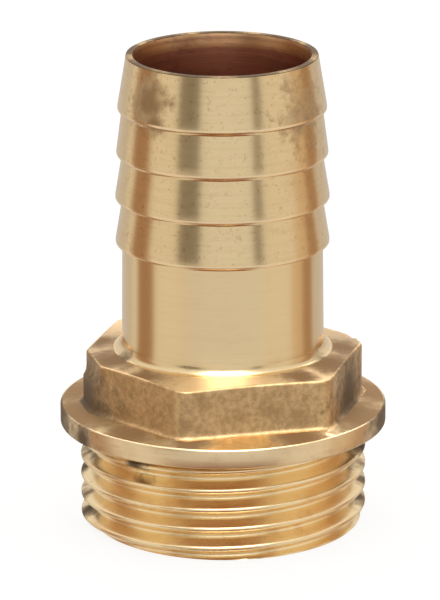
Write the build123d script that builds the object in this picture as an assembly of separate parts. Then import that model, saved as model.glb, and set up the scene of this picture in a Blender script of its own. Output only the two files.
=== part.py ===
from build123d import *
import os
from math import ceil, cos, radians, tan

# Hose barb tail: one brass body, hot forged, turned and threaded.
# +Z runs up the bore, from the threaded end to the hose end. The origin is the centre of the
# threaded end face, and two flats of the hexagon face -Y and +Y. Sizes are in millimetres.

# Bore, straight through the body
bore_d = 20.0

# Threaded end: G 1 parallel pipe thread, right-handed, with sharp roots between flat crests
thread_d = 33.25
thread_pitch = 2.309
thread_angle = 55.0
thread_crest = 0.385
thread_length = 11.3
thread_end_chamfer = 0.9
# Where the groove starts, and the height of its middle there above the end face
thread_start_angle = 37.0
thread_phase = 1.4
# Turns that the groove runs past each end, and how far it is cut past the crests
thread_run_out = 2
thread_overcut = 0.1
relief_width = 0.7
relief_depth = 1.875

# Spanner hexagon: forged flats, turned corners and top, and flash trimmed off the corners on X
hex_flats = 30.4
hex_corner_trim = 0.35
hex_flash_trim = 0.65
hex_height = 6.6
hex_top_angle = 5.0
hex_base_fillet = 0.5

# Collar that carries the sealing seat: it stands out past the hexagon's corners
collar_overhang = 1.75
collar_thickness = 2.3

# Shank between the hexagon and the barbs, with a foot that flares
shank_d = 23.2
shank_length = 12.75
foot_flare = 1.1
foot_height = 1.2

# Hose barbs, counted up from the shank: past the full ones, each steps down to lead the hose on
barb_count = 4
barb_full_count = 2
barb_pitch = 5.27
barb_land = 0.4
barb_height = 0.75
barb_lead_step = 0.16
barb_undercut = 0.15
nose_length = 6.35
rim_wall = 1.025

# Diameters that follow from the sizes above
relief_d = thread_d - 2 * relief_depth
hex_corners = hex_flats / cos(radians(30)) - 2 * hex_corner_trim
collar_d = hex_corners + 2 * collar_overhang
foot_d = shank_d + 2 * foot_flare
barb_root_d = shank_d - 2 * barb_undercut
barb_tip_d = shank_d + 2 * barb_height
rim_d = bore_d + 2 * rim_wall

# Heights that follow from the sizes above
seat_z = thread_length + relief_width
hex_base_z = seat_z + collar_thickness
hex_top_z = hex_base_z + hex_height
first_lip_z = hex_top_z + shank_length
total_length = first_lip_z + barb_pitch * (barb_count - 1) + nose_length

STAND = (Align.CENTER, Align.CENTER, Align.MIN)


def at(diameter, height):
    """A point of a turned profile, from its diameter and height."""
    return (diameter / 2, 0, height)


def rod(diameter, low, high):
    """A plain round bar on the bore axis between two heights."""
    return Pos(0, 0, low) * Cylinder(diameter / 2, high - low, align=STAND)


def barb_d(index):
    """Tip diameter of one barb."""
    return barb_tip_d - 2 * barb_lead_step * max(0, index - barb_full_count + 1)


def barb_points():
    """Outline of the barbs from the lowest lip up: each has a flat lip, a land and a cone."""
    points = []
    for index in range(barb_count):
        lip_z = first_lip_z + barb_pitch * index
        if index > 0:
            points.append(at(barb_root_d, lip_z))
        points.append(at(barb_d(index), lip_z))
        points.append(at(barb_d(index), lip_z + barb_land))
    return points


def turned_envelope():
    """All that the lathe leaves above the seat: collar, hexagon top, shank, barbs and rim."""
    facing_drop = (hex_corners - foot_d) / 2 * tan(radians(hex_top_angle))
    outline = Polyline(
        at(0, seat_z),
        at(collar_d, seat_z),
        at(collar_d, hex_base_z),
        at(hex_corners, hex_base_z),
        at(hex_corners, hex_top_z - facing_drop),
        at(foot_d, hex_top_z),
        at(shank_d, hex_top_z + foot_height),
        at(shank_d, first_lip_z),
        *barb_points(),
        at(rim_d, total_length),
        at(0, total_length),
        close=True,
    )
    return revolve(make_face(outline), Axis.Z)


def forged_blank():
    """The forging inside that envelope: a collar, a hexagon trimmed at its flash, and a barrel."""
    hexagon = RegularPolygon(hex_flats / 2, 6, major_radius=False)
    prism = Pos(0, 0, hex_base_z) * extrude(hexagon, hex_height)
    flash_width = hex_corners - 2 * hex_flash_trim
    trim = Pos(0, 0, hex_base_z) * Box(flash_width, hex_corners, hex_height, align=STAND)
    collar = rod(collar_d, seat_z, hex_base_z)
    barrel = rod(max(foot_d, barb_tip_d), seat_z, total_length)
    return collar + (prism & trim) + barrel


def upper_body():
    """Collar, hexagon, shank and barbs, with the forging's fillet round the hexagon's base."""
    body = forged_blank() & turned_envelope()
    base = body.edges().filter_by_position(Axis.Z, hex_base_z, hex_base_z)
    return fillet(base.filter_by(lambda edge: edge.bounding_box().size.X < hex_corners), hex_base_fillet)


def thread_groove():
    """The V between two crests, swept up a right-hand helix that passes both ends of the thread."""
    slope = tan(radians(thread_angle / 2))
    half_mouth = (thread_pitch - thread_crest) / 2
    root_r = thread_d / 2 - half_mouth / slope
    mouth_r = thread_d / 2 + thread_overcut
    half_cutter = half_mouth + thread_overcut * slope
    start_z = thread_phase - thread_run_out * thread_pitch
    section = make_face(
        Polyline(
            (root_r, 0, start_z),
            (mouth_r, 0, start_z + half_cutter),
            (mouth_r, 0, start_z - half_cutter),
            close=True,
        )
    )
    turns = ceil(thread_length / thread_pitch) + 2 * thread_run_out
    path = Pos(0, 0, start_z) * Helix(thread_pitch, turns * thread_pitch, thread_d / 2)
    return Rot(0, 0, thread_start_angle) * sweep(section, path=path, is_frenet=True)


def threaded_stud():
    """The threaded end: a long bar with the groove in it, trimmed to its chamfered length."""
    spare = 2 * thread_run_out * thread_pitch
    bar = rod(thread_d, -spare, thread_length + spare)
    blank = Polyline(
        at(0, 0),
        at(thread_d - 2 * thread_end_chamfer, 0),
        at(thread_d, thread_end_chamfer),
        at(thread_d, thread_length),
        at(0, thread_length),
        close=True,
    )
    return (bar - thread_groove()) & revolve(make_face(blank), Axis.Z)


def hose_tail():
    """The whole body, in the order in which it is made."""
    relief = rod(relief_d, 0, seat_z)
    bore = rod(bore_d, 0, total_length)
    return upper_body() + relief + threaded_stud() - bore


os.makedirs("parts", exist_ok=True)
export_step(hose_tail(), "parts/hose_tail.step")
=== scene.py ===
"""A brass hose barb tail on a white table, laid out as an add-on and run as a script."""

from math import cos, pi, radians, sin, tan

import bpy
import numpy as np
from bpy.props import FloatProperty, FloatVectorProperty, IntProperty, PointerProperty
from mathutils import Matrix, Vector


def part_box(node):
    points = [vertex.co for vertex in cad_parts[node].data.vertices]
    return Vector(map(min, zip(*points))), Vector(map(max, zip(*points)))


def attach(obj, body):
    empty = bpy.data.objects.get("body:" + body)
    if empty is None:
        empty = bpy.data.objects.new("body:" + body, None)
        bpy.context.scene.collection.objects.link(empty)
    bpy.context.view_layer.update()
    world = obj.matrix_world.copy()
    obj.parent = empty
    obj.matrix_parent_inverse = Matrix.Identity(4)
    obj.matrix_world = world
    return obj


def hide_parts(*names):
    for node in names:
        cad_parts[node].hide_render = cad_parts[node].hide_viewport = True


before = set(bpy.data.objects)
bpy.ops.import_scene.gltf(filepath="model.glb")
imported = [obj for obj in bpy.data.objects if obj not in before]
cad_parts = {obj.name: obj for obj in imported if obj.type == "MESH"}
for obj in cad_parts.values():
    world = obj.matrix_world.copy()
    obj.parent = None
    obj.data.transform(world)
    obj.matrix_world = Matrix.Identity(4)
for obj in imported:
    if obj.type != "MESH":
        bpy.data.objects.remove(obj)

bl_info = {
    "name": "Hose barb tail",
    "version": (1, 0, 0),
    "blender": (4, 5, 0),
    "location": "3D View > Sidebar > Hose Tail",
    "description": "Builds the dressed brass hose tail, its white table and its studio",
    "category": "Add Mesh",
}

NODE = "hose_tail"
LOW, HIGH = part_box(NODE)
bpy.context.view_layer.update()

MM = 0.001

# The grid of the skin: columns round the bore, rows along the thread, and the angle between two
# faces past which their edge is drawn sharp
COLUMNS = 360
THREAD_ROWS = 134
SHARP_ANGLE = radians(34.0)

# Widths over which two surfaces are blended where they cross
THREAD_BLEND = 0.16 * MM
CHAMFER_BLEND = 0.08 * MM
CORNER_BLEND = 0.12 * MM

# Half of the angle between two flanks of the thread
HALF_FLANK = radians(27.5)

# The flash trims the hexagon only where the cosine of the angle is past this, beside the X axis
FLASH_COSINE = 0.5

# The middle of the worn place on the hexagon's top edge, and its half width in radians
WEAR_ANGLE = radians(22.0)
WEAR_SPREAD = 0.55

# How many barbs have the full radius, and what each one above them loses
FULL_BARBS = 2
BARB_STEP = 0.16 * MM

# How far in from the corner a small bevel's middle stands, as a share of its width
BEVEL_SHARE = 0.3

# Height above the bore's chamfer at which the bore's last row stands
BORE_END = 1.0 * MM

# Depth of the turned rings at a full share of them, and of the forged grain
RING_DEPTH = 0.008 * MM
FORGED_DEPTH = 0.04 * MM

# How much more of the shade the short marks give than the rings
MARKS_OVER_RINGS = 2.5

# How the shader is set where a darkened place is full: painted shade on most parts, tarnish on the
# rim
TARNISH_AND_SHADE_ROUGHNESS = 0.6
TARNISH_AND_SHADE_METALLIC = 0.2
TARNISH_AND_SHADE_SPECULAR = 0.15

# The white table's glow, and its share in what the camera sees
FLOOR_GLOW = 1.08
FLOOR_GLOW_SHARE = 0.8

# The bright strip overhead: how far its middle stands to one side, and the strength that it adds
STRIP_ASIDE = 0.04
STRIP_STRENGTH = 4.5

# Darkened places. Those on the collar, its top, the thread, the hexagon, its top, the foot and
# the barbs are painted shade: most stand at the sides as the camera sees them, where the light
# leaves the brass darker, and two on the collar's top paint over its highlights at the front.
# Those round the rim are tarnish. Each is a bearing in degrees, counted from the camera's side
# and growing to its right, then a radius, a height and a reach in millimetres
# Painted shade at the collar's sides
COLLAR_SHADE_SPOTS = ((-84, 18.9, 13.4, 7.0), (-58, 18.9, 12.8, 2.4), (78, 18.9, 13.4, 6.0))
# Painted shade on the collar's top: at its sides, and over its highlights at the front
COLLAR_TOP_SHADE_SPOTS = (
    (-100, 17.8, 14.3, 8.0),
    (-72, 17.8, 14.3, 10.0),
    (-38, 17.6, 14.3, 5.0),
    (-13, 17.2, 14.3, 3.6),
    (30, 17.2, 14.3, 4.4),
    (66, 17.8, 14.3, 9.0),
    (98, 17.8, 14.3, 8.0),
)
# Painted shade at the thread's sides and under the collar
THREAD_SHADE_SPOTS = (
    (-82, 16.4, 10.5, 3.0),
    (-92, 16.4, 6.2, 2.9),
    (-81, 16.4, 2.2, 2.6),
    (-38, 16.3, 10.7, 1.6),
    (81, 16.3, 9.7, 2.9),
    (86, 16.3, 3.5, 2.7),
)
# Painted shade on the hexagon's side faces
FORGED_SHADE_SPOTS = ((-76, 16.3, 15.5, 6.6), (72, 16.4, 16.5, 6.6))
# Painted shade: dark reflections on the hexagon's top beside the foot
TOP_SHADE_SPOTS = (
    (-100, 14.5, 20.8, 3.0),
    (-68, 13.6, 21.2, 4.6),
    (-38, 14.6, 20.9, 3.0),
    (38, 14.6, 20.9, 2.8),
    (62, 14.0, 20.9, 4.6),
    (88, 14.0, 20.9, 3.2),
)
# Painted shade on the foot's fillet
FOOT_SHADE_SPOTS = ((-67, 13.2, 21.2, 1.9), (-20, 12.4, 21.8, 0.7), (66, 13.2, 21.0, 1.7))
# Painted shade at the sides of the top barb
BARB_SHADE_SPOTS = ((-46, 12.0, 52.2, 3.2), (-40, 12.4, 50.0, 1.8), (52, 15.2, 51.0, 5.2))
RIM_SPOTS = tuple((bearing, 10.6, 55.8, 3.6) for bearing in range(20, 360, 40))

# Panels and gaps of the tent: the middle, the half width and the fade of each in degrees, counted
# from the camera's side, then its colour and the heights at which it stands
TENT_PANELS = (
    (4, 42, 8, (0.85, 0.84, 0.81), "low"),
    (180, 54, 12, (0.67, 0.63, 0.60), "level"),
    (-100, 14, 9, (0.42, 0.25, 0.15), "low"),
    (97, 11, 12, (0.74, 0.58, 0.42), "low"),
    (114, 10, 8, (0.45, 0.28, 0.17), "low"),
    (-37, 12.5, 4, (0.26, 0.23, 0.19), "middle"),
    (39, 5, 3, (0.30, 0.27, 0.23), "middle"),
    (-1, 43, 8, (0.30, 0.14, 0.08), "under"),
)

# The tent's colour low down and overhead, and the white that the camera sees in its place
TENT_LOW = (0.86, 0.81, 0.73)
TENT_HIGH = (1.0, 0.98, 0.94)
WHITE = (1.0, 1.0, 1.0)

# Zones of the body's one skin, in the order of their material slots
(
    BORE,
    MOUTH,
    END_FACE,
    THREAD,
    COLLAR,
    COLLAR_TOP,
    FORGED,
    HEX_TOP,
    FOOT,
    SHANK,
    BARBS,
    LIPS,
    RIM,
) = range(13)


def millimetres(name, description, value):
    """A length property whose default is given in millimetres."""
    return FloatProperty(name=name, description=description, default=value * MM, unit="LENGTH")


class HoseTailSizes(bpy.types.PropertyGroup):
    """Sizes of the body. The length and the collar's radius come from the part's box in model.glb.
    """

    bore_radius: millimetres("Bore radius", "Radius of the through bore", 10.0)
    mouth_radius: millimetres("Mouth radius", "Radius of the bore at the hose end", 10.25)
    mouth_depth: millimetres("Mouth depth", "Depth of the opened part of the bore", 1.7)
    bore_chamfer: millimetres("Bore chamfer", "Chamfer of the bore at the threaded end", 0.5)
    thread_radius: millimetres("Thread radius", "Radius of the thread's crests", 16.625)
    thread_pitch: millimetres("Thread pitch", "Rise of the thread in one turn", 2.309)
    thread_depth: millimetres("Thread depth", "Depth of the thread below its crests", 1.479)
    thread_length: millimetres("Thread length", "Height of the threaded length", 11.3)
    thread_chamfer: millimetres("Thread chamfer", "Chamfer at the thread's first turn", 0.9)
    thread_phase: millimetres("Thread phase", "Height of the groove at its start angle", 1.4)
    thread_start: FloatProperty(
        name="Thread start",
        description="Angle about the bore at which the groove has its phase height",
        default=radians(37.0),
        subtype="ANGLE",
        unit="ROTATION",
    )
    relief_radius: millimetres("Relief radius", "Radius of the plain neck above the thread", 14.75)
    relief_width: millimetres("Relief width", "Height of the plain neck above the thread", 0.7)
    collar_thickness: millimetres("Collar thickness", "Thickness of the collar at its edge", 2.3)
    collar_rise: millimetres("Collar rise", "Rise of the collar's top towards the hexagon", 0.5)
    collar_edge: millimetres("Collar edge", "Rounding of the collar's edges", 0.25)
    hex_flats: millimetres("Hexagon width", "Width of the hexagon across its flats", 30.4)
    hex_corners: millimetres("Hexagon corners", "Diameter that trims the corners", 34.4)
    hex_flash: millimetres("Flash width", "Width across the two trimmed corners", 32.4)
    flash_taper: millimetres("Flash taper", "Width taken off the flash at the top", 1.3)
    flash_step: millimetres("Flash step", "Height over which the flash narrows", 2.6)
    hex_height: millimetres("Hexagon height", "Height of the hexagon at the shank's foot", 6.6)
    hex_fillet: millimetres("Hexagon fillet", "Fillet between the collar and the hexagon", 0.5)
    hex_edge: millimetres("Hexagon edge", "Rounding of the hexagon's top edge", 0.3)
    hex_wear: millimetres("Edge wear", "Extra rounding of the worn edge at the back", 1.2)
    hex_top_slope: FloatProperty(
        name="Hexagon top slope",
        description="Slope of the hexagon's top, down towards its corners",
        default=radians(5.0),
        subtype="ANGLE",
        unit="ROTATION",
    )
    foot_fillet: millimetres("Foot fillet", "Fillet at the shank's foot", 1.0)
    shank_foot_radius: millimetres("Shank foot radius", "Radius of the shank at its foot", 11.72)
    shank_length: millimetres("Shank length", "Height from the hexagon to the first lip", 12.75)
    barb_count: IntProperty(name="Barbs", description="Number of barbs", default=4, min=1)
    barb_pitch: millimetres("Barb pitch", "Height from one lip to the next", 5.27)
    barb_radius: millimetres("Barb radius", "Radius of the two full barbs' lips", 12.35)
    barb_root: millimetres("Barb root radius", "Radius under each lip", 11.6)
    barb_land: millimetres("Barb land", "Height of the straight part at each lip", 0.35)
    root_fillet: millimetres("Root fillet", "Fillet under each lip", 0.38)
    rim_radius: millimetres("Rim radius", "Outer radius of the rim", 11.05)
    edge_softness: millimetres("Edge softness", "Rounding of the small turned edges", 0.1)


def colour(name, description, value):
    """A colour property, as the shaders take it."""
    return FloatVectorProperty(
        name=name,
        description=description,
        default=value,
        subtype="COLOR",
        size=3,
        min=0.0,
        max=1.0,
    )


class HoseTailFinish(bpy.types.PropertyGroup):
    """Colours of the brass in its several finishes, some of them painted light and shade."""

    turned: colour("Turned brass", "Colour of the turned surfaces", (0.80, 0.62, 0.365))
    shade: colour("Turned brass, shade", "Colour of the rings and stains", (0.62, 0.43, 0.23))
    # Painted light: the thread is lighter than the turned brass, to brighten the flanks in its
    # grooves
    thread: colour("Thread", "Colour of the thread", (0.96, 0.78, 0.49))
    thread_shade: colour("Thread, shade", "Colour of the thread's stains", (0.80, 0.54, 0.28))
    collar: colour("Collar", "Colour of the collar's side", (0.86, 0.68, 0.43))
    collar_top: colour("Collar's top", "Colour of the collar's top", (0.67, 0.54, 0.32))
    hexagon_top: colour("Hexagon's top", "Colour of the faced top", (0.70, 0.52, 0.31))
    forged: colour("Forged brass", "Colour of the forged surfaces", (0.73, 0.51, 0.27))
    forged_shade: colour("Forged brass, shade", "Colour of the clouds", (0.45, 0.29, 0.14))
    # Painted highlight: the lips are lighter than the turned brass, for a bright line along each
    # land
    lips: colour("Lips", "Colour of the narrow land at each lip", (0.90, 0.70, 0.45))
    rim: colour("Rim", "Colour of the speckled rim", (0.40, 0.28, 0.15))
    mouth: colour("Mouth", "Colour of the bore's mouth", (0.62, 0.38, 0.20))
    bore: colour("Bore", "Colour of the tarnished bore", (0.55, 0.28, 0.19))
    bore_shade: colour("Bore, shade", "Colour of the bore's rings", (0.33, 0.17, 0.12))
    # Painted shade: the brown of the darkened places on the collar's top, hexagon's top and barbs
    painted_shade_brown: colour("Stain", "Colour of the dull brown places", (0.28, 0.16, 0.07))
    # Painted shade in the darkest places of the thread, collar, hexagon and foot; the rim's tarnish
    tarnish_and_shade: colour("Tarnish", "Colour of the darkest places", (0.11, 0.07, 0.04))


class HoseTailStudio(bpy.types.PropertyGroup):
    """The camera and the white table."""

    camera_distance: FloatProperty(
        name="Camera distance",
        description="Distance from the camera to the point at which it is aimed",
        default=0.617,
        unit="LENGTH",
    )
    camera_azimuth: FloatProperty(
        name="Camera azimuth",
        description="Turn of the camera about the bore, from the front flat",
        default=radians(-14.4),
        subtype="ANGLE",
        unit="ROTATION",
    )
    camera_elevation: FloatProperty(
        name="Camera elevation",
        description="Height of the camera above the table, as an angle",
        default=radians(16.8),
        subtype="ANGLE",
        unit="ROTATION",
    )
    camera_roll: FloatProperty(
        name="Camera roll",
        description="Tilt of the camera about its own axis",
        default=radians(-0.15),
        subtype="ANGLE",
        unit="ROTATION",
    )
    aim_height: millimetres("Aim height", "Height at which the camera is aimed", 25.0)
    lens: FloatProperty(
        name="Focal length",
        description="Focal length in millimetres",
        default=319.1,
        min=1.0,
        unit="CAMERA",
    )
    shift_x: FloatProperty(
        name="Shift across", description="Camera shift, in picture heights", default=-0.0046
    )
    shift_y: FloatProperty(
        name="Shift up", description="Camera shift, in picture heights", default=0.0195
    )
    floor_size: FloatProperty(
        name="Table size", description="Width of the white table", default=6.0, unit="LENGTH"
    )


def soft_min(a, b, width):
    """The smaller of two values, rounded over about the given width where they cross.

    It is their mean less the length whose two legs are half of their gap and half of the width.
    """
    mean = (a + b) / 2
    gap = (a - b) / 2
    return mean - np.sqrt(gap * gap + (width / 2) ** 2)


def soft_max(a, b, width):
    """The larger of two values, rounded in the same way."""
    return -soft_min(-a, -b, width)


def thread_radius(sizes, angle, height):
    """Radius of the threaded length over angle and height.

    The groove's middle rises one pitch a turn. The rise over the root is the distance from the
    groove's mouth over the tangent of half the angle between the flanks, plus the depth, kept
    between nothing and the depth, softly at both ends. The radius never passes the chamfer, which
    grows with the height.
    """
    pitch = sizes.thread_pitch
    depth = sizes.thread_depth
    slope = tan(HALF_FLANK)
    turn = (height - sizes.thread_phase) / pitch - (angle - sizes.thread_start) / (2 * pi)
    from_groove = np.abs(turn - np.round(turn)) * pitch
    half_mouth = (pitch + depth * slope * 2) / 4
    rise = (from_groove - half_mouth) / slope + depth
    rise = soft_max(soft_min(rise, depth, THREAD_BLEND), 0.0, THREAD_BLEND)
    chamfer = sizes.thread_radius - sizes.thread_chamfer + height
    return soft_min(sizes.thread_radius - depth + rise, chamfer, CHAMFER_BLEND)


def hexagon_radius(sizes, angle, taper=0.0):
    """Radius of the hexagon over angle: the nearest flat, trimmed by the corner circle and flash.

    A flat, like a flash line, stands at its half width over the cosine of the angle to its middle.
    The taper is what the flash on the -X side has lost at the row.
    """
    sector = pi / 3
    from_flat = np.mod(angle - pi / 6 + sector / 2, sector) - sector / 2
    flat = sizes.hex_flats / 2 / np.cos(from_flat)
    width = sizes.hex_flash - taper * (np.cos(angle) < 0)
    flash = width / 2 / np.maximum(np.abs(np.cos(angle)), FLASH_COSINE)
    trimmed = soft_min(flat, sizes.hex_corners / 2, CORNER_BLEND)
    return soft_min(trimmed, flash, CORNER_BLEND)


class Skin:
    """Rows of radius and height, each over all the angles, gathered from the bore outwards."""

    def __init__(self, angle):
        self.angle = angle
        self.radii = []
        self.heights = []
        self.zones = []

    def row(self, radius, height, zone):
        """Adds one row. Both values may change with the angle."""
        self.radii.append(np.broadcast_to(radius, self.angle.shape))
        self.heights.append(np.broadcast_to(height, self.angle.shape))
        self.zones.append(zone)

    def line(self, start, end, steps, zone):
        """Adds rows evenly from start to end, without the start itself."""
        for share in np.linspace(0.0, 1.0, steps + 1)[1:]:
            radius = start[0] + (end[0] - start[0]) * share
            height = start[1] + (end[1] - start[1]) * share
            self.row(radius, height, zone)

    def arc(self, centre, radius, first, last, steps, zone):
        """Adds rows along an arc about a centre (radius, height), between two angles of slope."""
        for slope in np.linspace(radians(first), radians(last), steps + 1):
            self.row(centre[0] + radius * cos(slope), centre[1] + radius * sin(slope), zone)


def add_threaded_end(skin, sizes):
    """End face, chamfers, thread, and the neck up to the seat.

    The thread's rows are evenly spaced, and each has the thread's radius at its height.
    """
    chamfered = sizes.bore_radius + sizes.bore_chamfer
    skin.row(sizes.bore_radius, sizes.bore_chamfer, END_FACE)
    skin.row(chamfered, 0.0, END_FACE)
    skin.line((chamfered, 0.0), (thread_radius(sizes, skin.angle, 0.0), 0.0), 3, END_FACE)
    end = sizes.thread_length
    for height in np.linspace(0.0, end, THREAD_ROWS)[1:]:
        skin.row(thread_radius(sizes, skin.angle, height), height, THREAD)
    neck = sizes.relief_radius
    skin.line((skin.radii[-1], end), (neck, end), 2, THREAD)
    skin.line((neck, end), (neck, end + sizes.relief_width), 3, THREAD)


def add_collar(skin, sizes, collar_radius, seat):
    """The seat, the collar's rounded side, and its rising top in to the hexagon's fillet.

    The seat is flat, the side is a cylinder between two quarter circles, and the top is straight
    from the side to the fillet, whose radius follows the hexagon.
    """
    edge = sizes.collar_edge
    outer = collar_radius - edge
    top = seat + sizes.collar_thickness
    skin.line((sizes.relief_radius, seat), (outer, seat), 3, COLLAR)
    skin.arc((outer, seat + edge), edge, -90, 0, 4, COLLAR)
    skin.arc((outer, top - edge), edge, 0, 90, 4, COLLAR)
    fillet = hexagon_radius(sizes, skin.angle) + sizes.hex_fillet
    skin.line((outer, top), (fillet, top + sizes.collar_rise), 4, COLLAR_TOP)


def add_hexagon(skin, sizes, base, foot):
    """The hexagon from its base fillet to the shank's foot: flats, rounded edge, sloping top.

    The fillet and the edge are quarter circles. The edge's radius grows by a bell curve over the
    angle from the worn place. The top falls outwards from the foot by the tangent of its slope. The
    flash has its full width up to its step, and narrows over the first third of that height.
    """
    flat = hexagon_radius(sizes, skin.angle)
    fillet = sizes.hex_fillet
    for turn in np.linspace(0.0, pi / 2, 5)[1:]:
        skin.row(flat + fillet * (1 - sin(turn)), base + fillet * (1 - cos(turn)), FORGED)
    start = sizes.shank_foot_radius + sizes.foot_fillet
    top = foot - (flat - start) * tan(sizes.hex_top_slope)
    wear = np.exp(-(((skin.angle - WEAR_ANGLE) / WEAR_SPREAD) ** 2))
    edge = sizes.hex_edge + sizes.hex_wear * wear
    step = top - sizes.flash_step
    narrowed = step + sizes.flash_step / 3
    narrow = hexagon_radius(sizes, skin.angle, sizes.flash_taper)
    skin.line((flat, base + fillet), (flat, step), 3, FORGED)
    skin.line((flat, step), (narrow, narrowed), 3, FORGED)
    skin.line((narrow, narrowed), (narrow, top - edge), 2, FORGED)
    for turn in np.linspace(0.0, pi / 2, 6)[1:]:
        skin.row(narrow - edge * (1 - cos(turn)), top - edge * (1 - sin(turn)), FORGED)
    skin.line((narrow - edge, top), (start, foot), 5, HEX_TOP)


def add_shank(skin, sizes, foot, lip):
    """The foot's fillet, the slightly tapered shank, and the fillet under the first lip.

    Both fillets are quarter circles, and the shank is a straight cone between them.
    """
    fillet = sizes.foot_fillet
    centre = (sizes.shank_foot_radius + fillet, foot + fillet)
    skin.arc(centre, fillet, 270, 180, 9, FOOT)
    root = sizes.root_fillet
    low = (sizes.shank_foot_radius, foot + fillet)
    skin.line(low, (sizes.barb_root, lip - root), 6, SHANK)
    skin.arc((sizes.barb_root + root, lip - root), root, 180, 90, 4, BARBS)


def add_barbs(skin, sizes, lip, total):
    """Each barb has a flat lip with a soft corner and a narrow land, then a cone to a fillet.

    The lips stand one pitch apart. The last cone is the nose, and runs to the rim.
    """
    soft = sizes.edge_softness
    root = sizes.root_fillet
    for index in range(sizes.barb_count):
        tip = sizes.barb_radius - BARB_STEP * max(0, index + 1 - FULL_BARBS)
        low = lip + sizes.barb_pitch * index
        land = (tip, low + sizes.barb_land)
        skin.arc((tip - soft, low + soft), soft, -90, 0, 4, LIPS)
        skin.line((tip, low + soft), land, 1, LIPS)
        if index < sizes.barb_count - 1:
            high = low + sizes.barb_pitch - root
            skin.line(land, (sizes.barb_root, high), 4, BARBS)
            skin.arc((sizes.barb_root + root, high), root, 180, 90, 4, BARBS)
        else:
            skin.line(land, (sizes.rim_radius, total - soft), 6, BARBS)


def add_bore(skin, sizes, total):
    """The rim, the opened mouth and the bore, down to its chamfer.

    The rim is flat between two small bevels, and the mouth is a cone.
    """
    soft = sizes.edge_softness
    bevel = soft * BEVEL_SHARE
    mouth, bore = sizes.mouth_radius, sizes.bore_radius
    skin.row(sizes.rim_radius - bevel, total - bevel, RIM)
    skin.row(sizes.rim_radius - soft, total, RIM)
    skin.row(mouth + soft, total, RIM)
    skin.row(mouth + bevel, total - bevel, RIM)
    skin.row(mouth, total - soft, RIM)
    throat = (bore, total - sizes.mouth_depth)
    skin.line((mouth, total - soft), throat, 3, MOUTH)
    skin.line(throat, (bore, sizes.bore_chamfer + BORE_END), 7, BORE)


def body_skin(sizes, columns):
    """All rows of the body, from the bore's chamfer round the outside and back down the bore."""
    angle = np.arange(columns) * (2 * pi / columns)
    total = HIGH.z - LOW.z
    seat = sizes.thread_length + sizes.relief_width
    collar_top = seat + sizes.collar_thickness
    foot = collar_top + sizes.hex_height
    lip = foot + sizes.shank_length
    skin = Skin(angle)
    add_threaded_end(skin, sizes)
    add_collar(skin, sizes, HIGH.x, seat)
    add_hexagon(skin, sizes, collar_top + sizes.collar_rise, foot)
    add_shank(skin, sizes, foot, lip)
    add_barbs(skin, sizes, lip, total)
    add_bore(skin, sizes, total)
    return skin


def skin_mesh(name, skin):
    """A closed mesh over the rows. The last row meets the first, and the last column the first.

    Each point stands at its row's radius times the cosine and the sine of its angle, and at its
    row's height.
    """
    radii = np.array(skin.radii)
    heights = np.array(skin.heights)
    rows, columns = radii.shape
    points = np.stack([radii * np.cos(skin.angle), radii * np.sin(skin.angle), heights], axis=-1)
    row, column = np.meshgrid(np.arange(rows), np.arange(columns), indexing="ij")
    next_row = (row + 1) % rows
    next_column = (column + 1) % columns
    corners = [
        row * columns + column,
        row * columns + next_column,
        next_row * columns + next_column,
        next_row * columns + column,
    ]
    faces = np.stack(corners, axis=-1).reshape(-1, 4)
    mesh = bpy.data.meshes.new(name)
    mesh.vertices.add(rows * columns)
    mesh.vertices.foreach_set("co", points.ravel())
    mesh.loops.add(faces.size)
    mesh.loops.foreach_set("vertex_index", faces.ravel())
    mesh.polygons.add(len(faces))
    mesh.polygons.foreach_set("loop_start", np.arange(0, faces.size, 4))
    zones = np.array(skin.zones[1:] + skin.zones[:1])
    mesh.polygons.foreach_set("material_index", np.repeat(zones, columns))
    mesh.update(calc_edges=True)
    mesh.validate()
    mesh.shade_smooth()
    mesh.set_sharp_from_angle(angle=SHARP_ANGLE)
    return mesh


def node(tree, kind, inputs=None, **settings):
    """Adds a node, sets its settings, and sets or links its inputs by name or number."""
    made = tree.nodes.new(kind)
    for name, value in settings.items():
        setattr(made, name, value)
    for key, value in (inputs or {}).items():
        if isinstance(value, bpy.types.NodeSocket):
            tree.links.new(value, made.inputs[key])
        else:
            made.inputs[key].default_value = value
    return made


def math(tree, operation, *values):
    """The output of a Math node on numbers or sockets."""
    made = node(tree, "ShaderNodeMath", dict(enumerate(values)), operation=operation)
    return made.outputs[0]


def noise(tree, vector, scale, detail=3.0, roughness=0.55):
    """The value of a noise texture over a vector."""
    inputs = {"Vector": vector, "Scale": scale, "Detail": detail, "Roughness": roughness}
    return node(tree, "ShaderNodeTexNoise", inputs).outputs[0]


def spread(tree, value, low, high, start=0.0, end=1.0):
    """A value taken from low and high to start and end, smoothly and without passing them."""
    inputs = {0: value, 1: low, 2: high, 3: start, 4: end}
    made = node(tree, "ShaderNodeMapRange", inputs, interpolation_type="SMOOTHSTEP")
    return made.outputs[0]


def tint(tree, share, color, other):
    """Color where share is 0 and the other color where it is 1."""
    made = node(tree, "ShaderNodeMix", {"Factor": share}, data_type="RGBA")
    for socket, value in ((made.inputs[6], color), (made.inputs[7], other)):
        if isinstance(value, bpy.types.NodeSocket):
            tree.links.new(value, socket)
        else:
            socket.default_value = (*value[:3], 1.0)
    return made.outputs[2]


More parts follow.
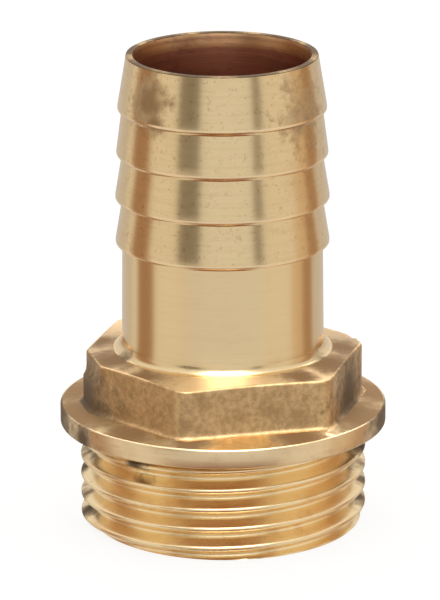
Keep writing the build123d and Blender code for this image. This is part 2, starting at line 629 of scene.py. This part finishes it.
def lathe_vector(tree, across, along):
    """Object coordinates in which the sum of radius and height is stretched.

    A pattern on them runs round the bore on the cylinders, the cones and the faces alike.
    """
    place = node(tree, "ShaderNodeTexCoord").outputs["Object"]
    parts = node(tree, "ShaderNodeSeparateXYZ", {0: place})
    flat = node(tree, "ShaderNodeVectorMath", {0: place, 1: (1.0, 1.0, 0.0)}, operation="MULTIPLY")
    radius = node(tree, "ShaderNodeVectorMath", {0: flat.outputs[0]}, operation="LENGTH").outputs[1]
    run = math(tree, "MULTIPLY", math(tree, "ADD", radius, parts.outputs[2]), along)
    inputs = {
        0: math(tree, "MULTIPLY", parts.outputs[0], across),
        1: math(tree, "MULTIPLY", parts.outputs[1], across),
        2: run,
    }
    return node(tree, "ShaderNodeCombineXYZ", inputs).outputs[0]


def brass(name, roughness):
    """A material with metallic brass, and its tree and shader."""
    material = bpy.data.materials.new(name)
    material.use_nodes = True
    tree = material.node_tree
    shader = tree.nodes["Principled BSDF"]
    shader.inputs["Metallic"].default_value = 1.0
    shader.inputs["Roughness"].default_value = roughness
    return material, tree, shader


def bump(tree, shader, height, distance):
    """Gives the shader a bump of the given depth."""
    made = node(tree, "ShaderNodeBump", {"Height": height, "Distance": distance, "Strength": 1.0})
    tree.links.new(made.outputs[0], shader.inputs["Normal"])


def patches(tree, places):
    """Where any of the places is near, raggedly, from 0 to almost 1.

    The distance from each place, over its reach, is stretched and shrunk by a noise round 1.
    """
    place = node(tree, "ShaderNodeTexCoord").outputs["Object"]
    cloud = noise(tree, place, scale=700.0, detail=4.0, roughness=0.65)
    ragged = math(tree, "MULTIPLY", cloud, 2.0)
    ahead = bpy.context.scene.hose_tail_studio.camera_azimuth - pi / 2
    total = 0.0
    for bearing, radius, height, reach in places:
        turn = ahead + radians(bearing)
        centre = (radius * cos(turn) * MM, radius * sin(turn) * MM, height * MM)
        inputs = {0: place, 1: centre}
        away = node(tree, "ShaderNodeVectorMath", inputs, operation="DISTANCE").outputs[1]
        share = math(tree, "MULTIPLY", math(tree, "DIVIDE", away, reach * MM), ragged)
        near = spread(tree, share, 0.2, 1.3, start=0.95, end=0.0)
        total = math(tree, "MAXIMUM", total, near)
    return total


def tarnished_and_shaded(tree, shader, tone, roughness, tarnish_and_shade, places):
    """Sets the shader's colour, darker and duller over the places: painted shade, and tarnish on
    the rim.
    """
    share = patches(tree, places)
    tree.links.new(tint(tree, share, tone, tarnish_and_shade), shader.inputs["Base Color"])
    dull = spread(tree, share, 0.0, 1.0, start=roughness, end=TARNISH_AND_SHADE_ROUGHNESS)
    tree.links.new(dull, shader.inputs["Roughness"])
    bare = spread(tree, share, 0.1, 1.0, start=1.0, end=TARNISH_AND_SHADE_METALLIC)
    tree.links.new(bare, shader.inputs["Metallic"])
    shader.inputs["Specular IOR Level"].default_value = TARNISH_AND_SHADE_SPECULAR


def turned_brass(
    name, color, shade, roughness, rings, stains, specks=0.0, tarnish_and_shade=None, places=()
):
    """Turned brass: faint rings, and short marks, stains and specks that break them up.

    Rings, stains and specks are how much of the shade each gives. The marks follow the rings.
    """
    material, tree, shader = brass(name, roughness)
    place = node(tree, "ShaderNodeTexCoord").outputs["Object"]
    lines = noise(tree, lathe_vector(tree, across=40.0, along=2600.0), scale=1.0, roughness=0.6)
    marks = noise(tree, lathe_vector(tree, across=420.0, along=2600.0), scale=1.0, roughness=0.7)
    blots = noise(tree, place, scale=260.0, detail=4.0, roughness=0.6)
    shares = [
        spread(tree, lines, 0.42, 0.68, end=rings),
        spread(tree, marks, 0.56, 0.72, end=min(1.0, rings * MARKS_OVER_RINGS)),
        spread(tree, blots, 0.5, 0.7, end=stains),
    ]
    if specks:
        grain = noise(tree, place, scale=1500.0, roughness=0.75)
        shares.append(spread(tree, grain, 0.57, 0.67, end=specks))
    tone = color
    for share in shares:
        tone = tint(tree, share, tone, shade)
    if places:
        tarnished_and_shaded(tree, shader, tone, roughness, tarnish_and_shade, places)
    else:
        tree.links.new(tone, shader.inputs["Base Color"])
    bump(tree, shader, math(tree, "ADD", lines, marks), rings * RING_DEPTH)
    return material


def faced_brass(name, color, shade, roughness, rings, stains, tarnish_and_shade, places):
    """Faced brass, whose grooves round the bore draw each highlight out along the radius."""
    material = turned_brass(
        name, color, shade, roughness, rings, stains, tarnish_and_shade=tarnish_and_shade, places=places
    )
    tree = material.node_tree
    shader = tree.nodes["Principled BSDF"]
    shader.inputs["Anisotropic"].default_value = 0.85
    shader.inputs["Anisotropic Rotation"].default_value = 0.25
    around = node(tree, "ShaderNodeTangent", direction_type="RADIAL", axis="Z")
    tree.links.new(around.outputs[0], shader.inputs["Tangent"])
    return material


def forged_brass(name, color, shade, roughness, tarnish_and_shade, places):
    """Brass as forged: a fine grain over broad darker clouds, and places of painted shade."""
    material, tree, shader = brass(name, roughness)
    place = node(tree, "ShaderNodeTexCoord").outputs["Object"]
    grain = noise(tree, place, scale=1500.0, detail=4.0, roughness=0.7)
    clouds = noise(tree, place, scale=330.0, detail=5.0, roughness=0.62)
    tone = tint(tree, spread(tree, grain, 0.35, 0.68, end=0.75), color, shade)
    tone = tint(tree, spread(tree, clouds, 0.45, 0.72, end=0.8), tone, shade)
    tarnished_and_shaded(tree, shader, tone, roughness, tarnish_and_shade, places)
    bump(tree, shader, grain, FORGED_DEPTH)
    return material


def body_materials(finish):
    """The materials of the body's zones, in the order of the zones."""
    turned, shade = finish.turned, finish.shade
    painted_shade_brown, tarnish_and_shade = finish.painted_shade_brown, finish.tarnish_and_shade
    return (
        turned_brass(
            "bore_brass", finish.bore, finish.bore_shade, roughness=0.34, rings=0.5, stains=0.5
        ),
        turned_brass(
            "mouth_brass", finish.mouth, finish.bore_shade, roughness=0.34, rings=0.5, stains=0.7
        ),
        turned_brass("end_brass", turned, shade, roughness=0.3, rings=0.3, stains=0.3),
        # The thread's lighter colour is painted light in its grooves
        turned_brass(
            "thread_brass",
            finish.thread,
            finish.thread_shade,
            roughness=0.27,
            rings=0.15,
            stains=0.5,
            tarnish_and_shade=tarnish_and_shade,
            places=THREAD_SHADE_SPOTS,
        ),
        turned_brass(
            "collar_brass",
            finish.collar,
            shade,
            roughness=0.3,
            rings=0.2,
            stains=0.3,
            tarnish_and_shade=tarnish_and_shade,
            places=COLLAR_SHADE_SPOTS,
        ),
        turned_brass(
            "collar_top_brass",
            finish.collar_top,
            shade,
            roughness=0.26,
            rings=0.3,
            stains=0.6,
            tarnish_and_shade=painted_shade_brown,
            places=COLLAR_TOP_SHADE_SPOTS,
        ),
        forged_brass(
            "forged_brass",
            finish.forged,
            finish.forged_shade,
            roughness=0.45,
            tarnish_and_shade=tarnish_and_shade,
            places=FORGED_SHADE_SPOTS,
        ),
        faced_brass(
            "hexagon_top_brass",
            finish.hexagon_top,
            shade,
            roughness=0.42,
            rings=0.15,
            stains=0.5,
            tarnish_and_shade=painted_shade_brown,
            places=TOP_SHADE_SPOTS,
        ),
        turned_brass(
            "foot_brass",
            turned,
            shade,
            roughness=0.22,
            rings=0.06,
            stains=0.1,
            tarnish_and_shade=tarnish_and_shade,
            places=FOOT_SHADE_SPOTS,
        ),
        turned_brass("shank_brass", turned, shade, roughness=0.2, rings=0.06, stains=0.08),
        turned_brass(
            "barb_brass",
            turned,
            shade,
            roughness=0.2,
            rings=0.15,
            stains=0.15,
            specks=0.7,
            tarnish_and_shade=painted_shade_brown,
            places=BARB_SHADE_SPOTS,
        ),
        # The lips' lighter colour is a painted highlight along each land
        turned_brass("lip_highlight_brass", finish.lips, shade, roughness=0.2, rings=0.1, stains=0.1),
        turned_brass(
            "rim_brass",
            finish.rim,
            tarnish_and_shade,
            roughness=0.5,
            rings=0.4,
            stains=1.0,
            tarnish_and_shade=tarnish_and_shade,
            places=RIM_SPOTS,
        ),
    )


def white_floor():
    """A white table that reads as white from the camera and still takes the body's shadow."""
    material = bpy.data.materials.new("floor_white")
    material.use_nodes = True
    tree = material.node_tree
    shader = tree.nodes["Principled BSDF"]
    shader.inputs["Base Color"].default_value = (0.93, 0.93, 0.93, 1.0)
    shader.inputs["Roughness"].default_value = 0.9
    glow = node(tree, "ShaderNodeEmission", {"Strength": FLOOR_GLOW})
    path = node(tree, "ShaderNodeLightPath")
    share = math(tree, "MULTIPLY", path.outputs["Is Camera Ray"], FLOOR_GLOW_SHARE)
    inputs = {0: share, 1: shader.outputs[0], 2: glow.outputs[0]}
    mixed = node(tree, "ShaderNodeMixShader", inputs)
    tree.links.new(mixed.outputs[0], tree.nodes["Material Output"].inputs["Surface"])
    return material


class HOSETAIL_OT_body(bpy.types.Operator):
    """Build the brass body as one closed skin"""

    bl_idname = "hosetail.body"
    bl_label = "Body"

    def execute(self, context):
        scene = context.scene
        skin = body_skin(scene.hose_tail_sizes, COLUMNS)
        mesh = skin_mesh("hose_tail_body", skin)
        for material in body_materials(scene.hose_tail_finish):
            mesh.materials.append(material)
        body = bpy.data.objects.new("hose_tail_body", mesh)
        scene.collection.objects.link(body)
        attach(body, "root")
        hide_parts(NODE)
        return {"FINISHED"}


def studio_world(azimuth):
    """A white tent with panels and soft gaps, seen in the metal, and plain white for the camera.

    Angles are counted from the side at the azimuth. Each panel or gap shows where the angle from
    its middle is less than its half width. A bright strip runs overhead from front to back, for
    the metal alone.
    """
    world = bpy.data.worlds.new("tent")
    bpy.context.scene.world = world
    world.use_nodes = True
    tree = world.node_tree
    way = node(tree, "ShaderNodeTexCoord").outputs["Generated"]
    turned = node(
        tree,
        "ShaderNodeVectorRotate",
        {"Vector": way, "Angle": pi / 2 - azimuth},
        rotation_type="Z_AXIS",
    )
    parts = node(tree, "ShaderNodeSeparateXYZ", {0: turned.outputs[0]})
    across = math(tree, "ARCTAN2", parts.outputs[1], parts.outputs[0])
    height = parts.outputs[2]
    over_table = spread(tree, height, -0.16, -0.08)
    under_roof = spread(tree, height, 0.3, 0.5, start=1.0, end=0.0)
    bands = {
        "low": spread(tree, height, 0.45, 0.7, start=1.0, end=0.0),
        "level": spread(tree, height, 0.02, 0.16, start=1.0, end=0.0),
        "middle": math(tree, "MULTIPLY", over_table, under_roof),
        "under": spread(tree, height, -0.43, -0.35, start=1.0, end=0.0),
    }
    color = tint(tree, spread(tree, height, 0.45, 0.8), TENT_LOW, TENT_HIGH)
    for middle, half, fade, panel_color, band in TENT_PANELS:
        away = math(tree, "COSINE", math(tree, "SUBTRACT", across, radians(middle)))
        away = math(tree, "ARCCOSINE", away)
        inner, outer = radians(half - fade / 2), radians(half + fade / 2)
        inside = spread(tree, away, inner, outer, start=1.0, end=0.0)
        color = tint(tree, math(tree, "MULTIPLY", inside, bands[band]), color, panel_color)
    aside = math(tree, "ABSOLUTE", math(tree, "SUBTRACT", parts.outputs[1], STRIP_ASIDE))
    beside = spread(tree, aside, 0.25, 0.31, start=1.0, end=0.0)
    strip = math(tree, "MULTIPLY", beside, spread(tree, height, 0.5, 0.64))
    path = node(tree, "ShaderNodeLightPath")
    seen, mirrored = path.outputs["Is Camera Ray"], path.outputs["Is Glossy Ray"]
    background = tree.nodes["Background"]
    tree.links.new(tint(tree, seen, color, WHITE), background.inputs["Color"])
    boost = math(tree, "MULTIPLY", math(tree, "MULTIPLY", strip, mirrored), STRIP_STRENGTH)
    tree.links.new(math(tree, "ADD", boost, 1.0), background.inputs["Strength"])


def add_camera(scene, studio):
    """The camera, at its azimuth, elevation and roll about the aim point."""
    azimuth, elevation = studio.camera_azimuth, studio.camera_elevation
    back = Vector((sin(azimuth) * cos(elevation), -cos(azimuth) * cos(elevation), sin(elevation)))
    aim = Vector((0.0, 0.0, studio.aim_height))
    data = bpy.data.cameras.new("camera")
    data.lens = studio.lens
    data.clip_start = 0.01
    data.clip_end = 20.0
    data.shift_x = studio.shift_x
    data.shift_y = studio.shift_y
    camera = bpy.data.objects.new("camera", data)
    scene.collection.objects.link(camera)
    camera.matrix_world = (
        Matrix.Translation(aim + back * studio.camera_distance)
        @ back.to_track_quat("Z", "Y").to_matrix().to_4x4()
        @ Matrix.Rotation(studio.camera_roll, 4, "Z")
    )
    scene.camera = camera


class HOSETAIL_OT_studio(bpy.types.Operator):
    """Set the white table, the tent and the camera"""

    bl_idname = "hosetail.studio"
    bl_label = "Studio"

    def execute(self, context):
        scene = context.scene
        studio = scene.hose_tail_studio
        mesh = bpy.data.meshes.new("floor")
        half = studio.floor_size / 2
        corners = [(-half, -half, 0), (half, -half, 0), (half, half, 0), (-half, half, 0)]
        mesh.from_pydata(corners, [], [(0, 1, 2, 3)])
        mesh.materials.append(white_floor())
        floor = bpy.data.objects.new("floor", mesh)
        scene.collection.objects.link(floor)
        floor.visible_glossy = False
        studio_world(studio.camera_azimuth)
        add_camera(scene, studio)
        scene.view_settings.view_transform = "Standard"
        return {"FINISHED"}


class HOSETAIL_PT_panel(bpy.types.Panel):
    """Hose tail panel in the sidebar"""

    bl_label = "Hose Tail"
    bl_idname = "HOSETAIL_PT_panel"
    bl_space_type = "VIEW_3D"
    bl_region_type = "UI"
    bl_category = "Hose Tail"

    def draw(self, context):
        for group in ("hose_tail_sizes", "hose_tail_finish", "hose_tail_studio"):
            settings = getattr(context.scene, group)
            box = self.layout.box()
            for name in settings.__annotations__:
                box.prop(settings, name)
        self.layout.operator("hosetail.body")
        self.layout.operator("hosetail.studio")


GROUPS = {
    "hose_tail_sizes": HoseTailSizes,
    "hose_tail_finish": HoseTailFinish,
    "hose_tail_studio": HoseTailStudio,
}
OPERATORS = (HOSETAIL_OT_body, HOSETAIL_OT_studio)


def register():
    """Registers the property groups, the operators and the panel."""
    for name, group in GROUPS.items():
        bpy.utils.register_class(group)
        setattr(bpy.types.Scene, name, PointerProperty(type=group))
    for operator in OPERATORS:
        bpy.utils.register_class(operator)
    bpy.utils.register_class(HOSETAIL_PT_panel)


def unregister():
    """Takes back everything that register made."""
    bpy.utils.unregister_class(HOSETAIL_PT_panel)
    for operator in reversed(OPERATORS):
        bpy.utils.unregister_class(operator)
    for name, group in GROUPS.items():
        delattr(bpy.types.Scene, name)
        bpy.utils.unregister_class(group)


def main():
    """Builds the body and the studio."""
    register()
    bpy.ops.hosetail.body()
    bpy.ops.hosetail.studio()


if __name__ == "__main__":
    main()
